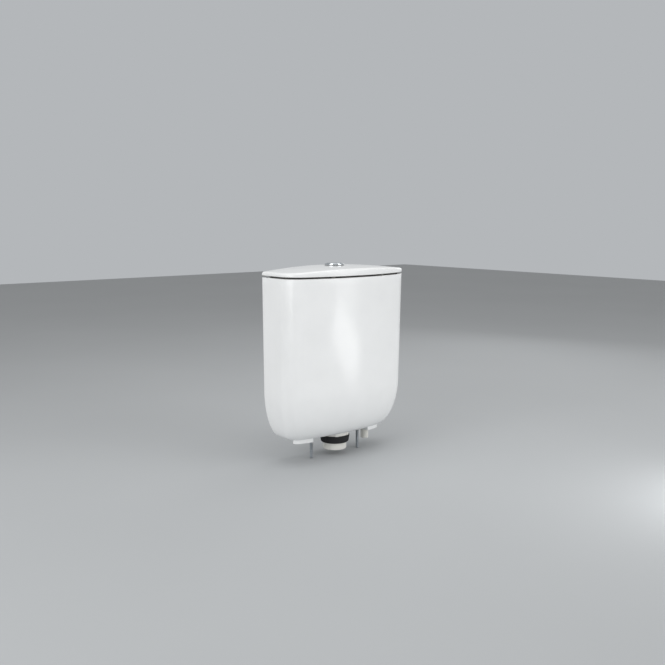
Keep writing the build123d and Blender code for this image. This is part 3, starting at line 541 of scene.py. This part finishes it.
# Inlet shank: the fill valve's threaded tail through the floor, with a washer inside, a
# hexagonal backnut outside and a filter in its mouth, all but the washer of plastic
inlet = (112.0, 14.0)
inlet_crest, inlet_root, inlet_neck, inlet_end = 10.48, 9.7, 10.2, -30.0
inlet_flange, inlet_bore, spigot, spigot_top = 17.0, 6.0, 7.9, 45.0
shank = turned("inlet_tail", [
    (inlet_root, inlet_end, 0.8), (inlet_root, 2.6, 0), (inlet_neck, 3.2, 0), (inlet_neck, flange_base, 0),
    (inlet_flange, flange_base, 0.4), (inlet_flange, flange_top, 0.9), (spigot, flange_top, 0.3),
    (spigot, spigot_top, 0.6), (inlet_bore, spigot_top, 0.4), (inlet_bore, inlet_end, 0.5)], inlet)
fuse(shank, thread("inlet_thread", abs_white, inlet_crest, 0.78, 1.814, inlet_end + 1.5, 1.8, inlet, 36))
finished(shank, abs_white, "cistern", "white_plastic", "inlet_shank")
washer_bore = 10.25
washer = turned("inlet_washer_ring", [
    (inlet_flange, floor_top, 0.7), (inlet_flange, flange_base, 0.7), (washer_bore, flange_base, 0.3),
    (washer_bore, floor_top, 0.3)], inlet)
finished(washer, epdm, "cistern", "black_rubber", "inlet_washer")


def hexagon(name, flats, base, top, bore, centre=(0, 0), chamfered=(True, True)):
    """A hexagonal nut, or a bolt's head where it has no bore, with turned chamfers on its ends."""
    apothem, sides = flats / 2, 72

    def level(limit, height):
        ring = []
        for side in range(sides):
            turn = 2 * pi * side / sides
            far = min(apothem / cos(turn % (pi / 3) - pi / 6), limit * apothem)
            ring.append((centre[0] + far * cos(turn), centre[1] + far * sin(turn), height))
        return ring

    full, drop = 1.16, 0.09 * apothem
    low = [(0.97, 0), (1.06, 0.5 * drop), (full, 1.1 * drop)] if chamfered[0] else [(full, 0)]
    high = [(full, 1.1 * drop), (1.06, 0.5 * drop), (0.97, 0)] if chamfered[1] else [(full, 0)]
    rings = [level(limit, base + rise) for limit, rise in low]
    rings += [level(limit, top - rise) for limit, rise in high]
    if bore:
        rings += [circle(bore + 0.4, top, centre, sides), circle(bore, top - 0.4, centre, sides),
                  circle(bore, base + 0.4, centre, sides), circle(bore + 0.4, base, centre, sides)]
    return skin(name, rings, loop=bool(bore))


nut = hexagon("inlet_nut", 30, 4, underside, washer_bore, inlet, (True, False))
finished(nut, abs_white, "cistern", "white_plastic", "inlet_backnut")
moulded("inlet_strainer", "inlet_filter", 0.2, grey_pp, "cistern", "grey_plastic")

# Fill valve: a riser with the diaphragm valve on top, under a ribbed screw cap, and a
# silencer tube that leads the water down quietly
riser_radius, riser_bore, riser_top = 11.5, 8.0, 236.0
riser = turned("fill_riser", [
    (riser_radius, flange_top, 0.5), (riser_radius, riser_top, 0.3), (riser_bore, riser_top, 0.3),
    (riser_bore, flange_top, 0.4)], inlet)
finished(riser, abs_white, "cistern", "white_plastic", "fill_column")
moulded("fill_valve_body", "fill_valve_head", 0.5, abs_white, "cistern", "white_plastic")
disc_radius, disc_base, disc_top = 16.0, 262.0, 264.0
diaphragm = turned("diaphragm_disc", [
    (1, disc_base, 0), (disc_radius, disc_base, 0.5), (disc_radius, disc_top, 0.5), (1, disc_top, 0)],
    inlet, loop=False)
finished(diaphragm, epdm, "cistern", "black_rubber", "fill_diaphragm")
cap_plug, cap_radius, cap_rim, cap_top = 15.95, 19.3, 268.0, 276.0
cap = turned("screw_cap", [
    (1, disc_top, 0), (cap_plug, disc_top, 0.3), (cap_plug, cap_rim, 0), (cap_radius, cap_rim, 0.3),
    (cap_radius, cap_top, 1.4), (1, cap_top, 0)], inlet, loop=False)
rib_size = (2.4, 1.9, 6.6)
rib = bar("rib", rib_size, cap_rim + 0.2, 0.7)
fuse(cap, ring_of("cap_ribs", rib, blue_acetal, 20, cap_radius, inlet))
finished(cap, blue_acetal, "cistern", "blue_plastic", "fill_valve_cap")
pipe_radius, pipe_bore, pipe_base, pipe_top = 6.5, 5.0, 48.0, 244.0
silencer = turned("silencer_pipe", [
    (pipe_radius, pipe_base, 0.5), (pipe_radius, pipe_top, 0.2), (pipe_bore, pipe_top, 0.2),
    (pipe_bore, pipe_base, 0.5)], (90.0, 14.0), 64)
finished(silencer, abs_white, "cistern", "white_plastic", "silencer_tube")

# Fill float: an upturned cup that slides on the riser, hung by a threaded rod from the
# slotted arm, with a small wheel on the rod that sets the water level
moulded("fill_float_cup", "fill_float", 0.8, grey_pp, "fill_float", "grey_plastic")
hanger, rod_base, rod_top, rod_root = (112.0, -35.0), 214.0, 265.9, 1.25
rod = turned("float_rod_stem", [
    (0.3, rod_base, 0), (rod_root, rod_base, 0), (rod_root, rod_top, 0.4), (0.3, rod_top, 0)],
    hanger, 32, loop=False)
fuse(rod, thread("float_rod_thread", abs_white, 1.6, 0.4, 1, rod_base + 2, 265, hanger, 20))
finished(rod, abs_white, "fill_float", "white_plastic", "float_rod")
moulded("level_wheel", "rod_adjuster", 0.3, blue_acetal, "fill_float", "blue_plastic", 20)
moulded("float_arm_bar", "float_arm", 0.4, abs_white, "float_arm", "white_plastic")
moulded("arm_pin", "float_arm_pin", 0.3, stainless, "cistern", "spring_steel")


# Coupling bolts: two M8 bolts of zinc-plated steel through the floor, each with a rubber
# washer and a steel washer inside, and a washer and a nut outside that hold it to the tank
def places_tree():
    """A tree that repeats a piece at every point of a mesh."""
    tree, given = new_tree("places", (("Places", "Geometry"), ("Piece", "Object")))
    piece = add(tree, "GeometryNodeObjectInfo", {"Object": given["Piece"]})
    copies = add(tree, "GeometryNodeInstanceOnPoints", {
        "Points": given["Places"], "Instance": piece.outputs["Geometry"]})
    return end_tree(tree, copies.outputs[0], given)


def copies_of(name, piece, material, spots):
    """Copies of a piece at some places; the piece itself is used up."""
    points = bpy.data.meshes.new(name)
    points.from_pydata([Vector((*spot, 0)) * mm for spot in spots], [], [])
    made = grow(name, places, {"Piece": piece, "Material": material}, points)
    bpy.data.objects.remove(piece)
    return made


# Bright zinc plate on steel: a pale blue grey sheen, a little uneven, with handling marks
zinc = surface("zinc_plated_steel", ("#a9adb1", "#bcc0c3"), 3, (0.27, 0.42), 0.6, 0.004, Metallic=1.0)
places = places_tree()
bolt_side, bolt_end, bolt_root, shank_radius, bolt_clear = 75.0, -48.0, 3.4, 3.8, 3.85
head_base, head_top, nut_low, nut_high, flats = 30.6, 36.0, 4.0, 10.4, 13.0
bolt_spots = [(-bolt_side, 0), (bolt_side, 0)]
bolt = turned("bolt", [
    (0.5, bolt_end, 0), (bolt_root, bolt_end, 0.6), (bolt_root, 3.8, 0), (shank_radius, 4.2, 0),
    (shank_radius, 31, 0), (0.5, 31, 0)], sides=48, loop=False)
fuse(bolt, thread("bolt_thread", zinc, 4, 0.6, 1.25, bolt_end + 1, 3.2, steps=24),
     hexagon("bolt_head", flats, head_base, head_top, 0, chamfered=(False, True)))
finished(copies_of("m8_bolts", bolt, zinc, bolt_spots), zinc, "cistern", "zinc_steel", "coupling_bolts")
for name, node, material, slot, radius, low, high in (
        ("rubber_washers", "bolt_rubber_washers", epdm, "black_rubber", 13, floor_top, flange_base),
        ("head_washers", "bolt_inner_washers", zinc, "zinc_steel", 11, flange_base, head_base),
        ("nut_washers", "bolt_outer_washers", zinc, "zinc_steel", 11, nut_high, underside)):
    edge = 0.4 if material is zinc else 0.7
    plate = turned("washer", [
        (radius, low, edge), (radius, high, edge), (bolt_clear, high, 0.2), (bolt_clear, low, 0.2)], sides=64)
    finished(copies_of(name, plate, material, bolt_spots), material, "cistern", slot, node)
nuts = copies_of("m8_nuts", hexagon("nut", flats, nut_low, nut_high, bolt_clear), zinc, bolt_spots)
finished(nuts, zinc, "cistern", "zinc_steel", "bolt_nuts")


# Lid: a slab of the same china with a shallow dome, hollow underneath, with a rib that
# keeps it inside the tank's rim. It lies loose on four soft studs, so a dark seam shows.
lid_bottom, lid_top, lid_overhang = 407.5, 428.0, 0.5
crown, pocket_top, rib_bottom = 10.8, 412.5, 399.5
crown_radius = ((tank_width / 2) ** 2 + crown**2) / (2 * crown)
rib_outer, rib_inner, top_round, bottom_round = 12.0, 19.0, 5.0, 1.5
hole_radius, seat_radius, seat_height = 22.0, 24.6, 427.5


def dome(point):
    """A point lifted or lowered on to the lid's dome."""
    x, y = point[:2]
    return x, y, lid_top - crown_radius + sqrt(crown_radius**2 - x**2 - y**2)


def levelled(ring, height):
    """The ring's points at another height."""
    return [(x, y, height) for x, y, z in ring]


under = [
    (rib_inner, pocket_top, 3), (rib_inner, rib_bottom, 1), (rib_outer, rib_bottom, 1),
    (rib_outer, lid_bottom, 0.8), (-lid_overhang, lid_bottom, bottom_round), (-lid_overhang, pocket_top, 0),
    (30, pocket_top, 0)]
rings = []
for inset, height in eased(under)[:-2]:
    share = min(max(inset, 0) / rib_outer, 1)
    back_radius = back_corner + (inner_back_corner - back_corner) * share
    ring = plan_ring(rim, inset, back_radius, wall_line - inset - lid_overhang * (1 - share))
    rings.append(levelled(ring, height))
for step in range(9):
    turn = pi / 2 * step / 8
    inset = top_round * (1 - cos(turn))
    ring = plan_ring(rim, inset - lid_overhang, back_corner - inset, wall_line - inset)
    rings.append([(x, y, dome((x, y))[2] - top_round * (1 - sin(turn))) for x, y, z in ring])
edge = rings[-1]
mouth = [(seat_radius * x / hypot(x, y), seat_radius * y / hypot(x, y)) for x, y, z in edge]
for step in range(1, 17):
    share = (step / 16) ** 0.8
    rings.append([dome((x + (u - x) * share, y + (v - y) * share)) for (x, y, z), (u, v) in zip(edge, mouth)])
hole = [(x * hole_radius / seat_radius, y * hole_radius / seat_radius) for x, y in mouth]
rings.append([(x * 0.992, y * 0.992, seat_height + 0.2) for x, y in mouth])
rings.append([(x * 0.985, y * 0.985, seat_height) for x, y in mouth])
rings.append([(x * 1.01, y * 1.01, seat_height) for x, y in hole])
rings.append([(x, y, seat_height - 0.3) for x, y in hole])
rings.append([(x, y, pocket_top + 0.4) for x, y in hole])
rings.append([(x * 1.02, y * 1.02, pocket_top) for x, y in hole])
lid = skin("china_lid", rings, loop=True)

# Bare body under the lid: matt and rough, coloured dark grey as painted shade in the seam,
# chosen so that the seam shows as dark as in the photograph. Its darkness is a guess, as
# from damp, chosen so that the seam shows as dark as in the photograph.
seam_shade = surface("unglazed_china_painted_seam_shade", ("#5b5a57", "#6c6a66"), 12, (0.75, 0.9), 0.9, 0.1)
lid.data.materials.append(china)
lid.data.materials.append(seam_shade)
# The lid's lowest faces, and those facing down in its pocket, take the painted seam shade
for face in lid.data.polygons:
    low, below = face.center.z < lid_bottom * mm, face.center.z < (pocket_top + 0.1) * mm
    face.material_index = int(low or (below and face.normal.z < -0.5))
stand_in(lid, "lid", "glazed_china", "lid")


# Buffers: four soft studs of cast polyurethane stuck under the lid, which cushion it on
# the rim and keep the seam open

# Cast polyurethane: satin and partly see-through. Its grey is partly its own and partly painted seam shade,
# dark enough to keep the seam dark.
urethane_seam_shade = surface("cast_polyurethane_painted_seam_shade", ("#77756f", "#85837d"), 3, (0.3, 0.42), 1, 0.01,
                   **{"Transmission Weight": 0.4})
stud_radius, back_stud_side, back_stud_line, front_stud_side = 4.5, 120.0, 45.0, 75.0
stud = turned("stud", [
    (1, rim, 0), (stud_radius, rim, 1.2), (stud_radius, lid_bottom, 0.2), (1, lid_bottom, 0)],
    sides=40, loop=False)
rim_front_radius, rim_front_centre = plan_sizes(rim, tank_wall / 2)[3:]
stud_front = rim_front_centre - sqrt(rim_front_radius**2 - front_stud_side**2)
stud_spots = [(-back_stud_side, back_stud_line), (back_stud_side, back_stud_line),
              (-front_stud_side, stud_front), (front_stud_side, stud_front)]
finished(copies_of("lid_studs", stud, urethane_seam_shade, stud_spots), urethane_seam_shade, "lid", "clear_rubber", "lid_buffers")

# Button housing: a ring of chromed ABS on the lid, with a threaded barrel through it
# and a web below, which the push rods run through. It is injection moulded and plated.
# A rubber gasket seals it on the china and a winged nut under the lid holds it.
housing_radius, housing_base, housing_top = 24.0, 428.5, 432.5
barrel_radius, barrel_bore, barrel_base, web_top = 21.5, 19.6, 402.5, 405.5

# Chrome plate over polished ABS: a mirror with very fine wiping marks
chrome = surface("chrome_plate", ("#c6cacd", "#d0d3d5"), 14, (0.05, 0.1), 2.5, 0.0012, Metallic=1.0)
housing = turned("button_housing", [
    (2, barrel_base, 0), (barrel_radius - 0.8, barrel_base, 0.6), (barrel_radius - 0.8, housing_base, 0),
    (housing_radius, housing_base, 0.5), (housing_radius, housing_top, 1.5), (barrel_bore, housing_top, 0.7),
    (barrel_bore, web_top, 0.5), (2, web_top, 0)], loop=False, steps=6)
rods, rod_clear = {"full": (-10.0, -5.0), "half": (12.0, 5.0)}, 3.4
for place in rods.values():
    rod_hole = [circle(rod_clear, height, place, 40) for height in (barrel_base - 2.5, web_top + 2.5)]
    combine(housing, "DIFFERENCE", skin("rod_hole", rod_hole))
fuse(housing, thread("barrel_thread", chrome, barrel_radius, ridge, 2.5, barrel_base + 1, housing_base - 1.5))
finished(housing, chrome, "lid", "chromed_plastic", "button_bezel")
seat_gasket = turned("seat_gasket", [
    (housing_radius, seat_height, 0.3), (housing_radius, housing_base, 0.3), (hole_radius, housing_base, 0.2),
    (hole_radius, seat_height, 0.2)])
finished(seat_gasket, epdm, "lid", "black_rubber", "button_gasket")
winged_rim, winged_bore, winged_base, wing_size = 29.0, 21.55, 405.5, (6, 8, 7)
winged = turned("winged_nut", [
    (winged_rim, winged_base, 1), (winged_rim, pocket_top, 0.6), (winged_bore, pocket_top, 0.4),
    (winged_bore, winged_base, 0.6)])
wing = bar("wing", wing_size, winged_base, 1)
fuse(winged, ring_of("nut_wings", wing, abs_white, 4, winged_rim, turn=pi / 4))
finished(winged, abs_white, "lid", "white_plastic", "button_nut")

# Buttons: two caps of chromed ABS, moulded and plated, and drawn solid here. The larger
# one on the left gives the full flush, the smaller one the half flush. Their faces are
# dished, a spring of stainless wire lifts each, and its white rod pushes the lever below.
button_radius, button_split, button_gap = 19.5, 5.0, 0.8
button_base, button_top, button_round, dish = 419.2, 433.7, 0.9, 0.5
rod_radius, tip_centre = 3.0, 341.3
for name, side in (("full", -1), ("half", 1)):
    rings = []
    for step in range(-1, 7):
        turn = pi / 2 * max(step, 0) / 6
        inset = button_round * (1 - cos(turn))
        height = button_base if step < 0 else button_top - button_round * (1 - sin(turn))
        radius, flat = button_radius - inset, button_split + side * (button_gap / 2 + inset)
        end = acos(flat / radius)
        start, stop = (end, 2 * pi - end) if side < 0 else (-end, end)
        outline = [(radius * cos(start), radius * sin(start))] + arc((0, 0), radius, start, stop, 72)
        across = radius * sin(stop)
        outline += [(flat, across * (1 - 2 * share / 24)) for share in range(1, 24)]
        rings.append([(x, y, height) for x, y in outline])
    edge = rings[-1]
    middle = Vector((sum(x for x, y, z in edge), sum(y for x, y, z in edge))) / len(edge)
    for step in range(1, 10):
        share = 1 - step / 10
        depth = dish * (1 - share**2)
        rings.append([(middle.x + (x - middle.x) * share, middle.y + (y - middle.y) * share, z - depth)
                      for x, y, z in edge])
    cap = skin(f"{name}_button_cap", rings)
    finished(cap, chrome, f"{name}_button", "chromed_plastic", f"{name}_flush_button")

    x, y = rods[name]
    coil_radius, wire, coils = 4.4, 0.8, 5.5
    pitch = (button_base - web_top - 2 * wire) / coils
    spring = grow(f"{name}_button_coil", coil, {
        "Radius": coil_radius * mm, "Pitch": pitch * mm, "Turns": coils, "Wire": wire * mm, "Sides": 12,
        "Steps": 36, "Base": Vector((x, y, web_top + wire)) * mm, "Material": stainless})
    stand_in(spring, "lid", "spring_steel", f"{name}_button_spring")
    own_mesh(spring)

    tip = [(rod_radius * sin(radians(turn)), tip_centre - rod_radius * cos(radians(turn)), 0)
           for turn in range(10, 91, 10)]
    stem = turned(f"{name}_rod_stem", tip + [(rod_radius, button_base, 0.3), (0.5, button_base, 0)],
                  (x, y), 48, loop=False)
    finished(stem, abs_white, f"{name}_button", "white_plastic", f"{name}_push_rod")


# Stage: a plain pale floor under the cistern
stage = bpy.data.meshes.new("floor")
reach, ground = 6.0, cad_box[0][2] - 0.5 * mm
corners = [(x * reach, y * reach, ground) for x, y in ((-1, -1), (1, -1), (1, 1), (-1, 1))]
stage.from_pydata(corners, [], [(0, 1, 2, 3)])
floor = add_piece("floor", stage)
pale = surface("pale_floor", ("#b6b9bb", "#b9bcbe"), 900, (0.85, 0.95), 3, 0.01)
stage.materials.append(pale)

# Light: a broad soft box in front on the right with a strip close in for the highlight,
# a fill from the left, a weak one behind on the right for the edge and one overhead
scene = bpy.context.scene
for name, place, size, power in (
    ("key", (1.1, -2.1, 0.9), (1.5, 1.8), 17.0), ("strip", (0.42, -0.85, 0.06), (0.4, 0.18), 0.8),
    ("fill", (-2.4, -0.5, 0.9), (1.8, 1.6), 25.0), ("edge", (1.9, 0.7, 0.9), (0.8, 1.2), 3.0),
    ("overhead", (0.0, -0.2, 2.4), (2.0, 2.0), 18.0)):
    lamp = bpy.data.lights.new(name, "AREA")
    lamp.shape, lamp.size, lamp.size_y, lamp.energy = "RECTANGLE", *size, power
    light = bpy.data.objects.new(name, lamp)
    light.location = place
    light.rotation_euler = (Vector((0, 0, 0.2)) - light.location).to_track_quat("-Z", "Z").to_euler()
    scene.collection.objects.link(light)

# World: dim white light, with a pale backdrop where the camera, mirrors and clear pieces
# look past the cistern
world = bpy.data.worlds.new("studio")
scene.world = world
world.use_nodes = True
sky = world.node_tree
sky.nodes.clear()
seen = add(sky, "ShaderNodeLightPath").outputs
plain = add(sky, "ShaderNodeMath", {0: seen["Is Camera Ray"], 1: seen["Is Glossy Ray"]}, operation="MAXIMUM")
shown = add(sky, "ShaderNodeMath", {0: plain.outputs[0], 1: seen["Is Transmission Ray"]}, operation="MAXIMUM")
dim = add(sky, "ShaderNodeBackground", {"Color": tint("#ffffff"), "Strength": 0.45})
backdrop = add(sky, "ShaderNodeBackground", {"Color": tint("#b4b7ba"), "Strength": 1.0})
mixed = add(sky, "ShaderNodeMixShader", {0: shown.outputs[0], 1: dim.outputs[0], 2: backdrop.outputs[0]})
add(sky, "ShaderNodeOutputWorld", {"Surface": mixed.outputs[0]})

# Camera: to the left of the front and a little above the lid, as the photograph was taken
lens = bpy.data.cameras.new("camera")
lens.lens, lens.sensor_width = 44.06, 36.0
lens.shift_x, lens.shift_y = -0.0107, 0.0342
camera = bpy.data.objects.new("camera", lens)
camera.location = (-1.26, -1.5617, 0.5435)
camera.rotation_euler = Vector((0.6239, 0.7634, -0.1671)).to_track_quat("-Z", "Y").to_euler()
scene.collection.objects.link(camera)
scene.camera = camera
scene.view_settings.view_transform = "Standard"
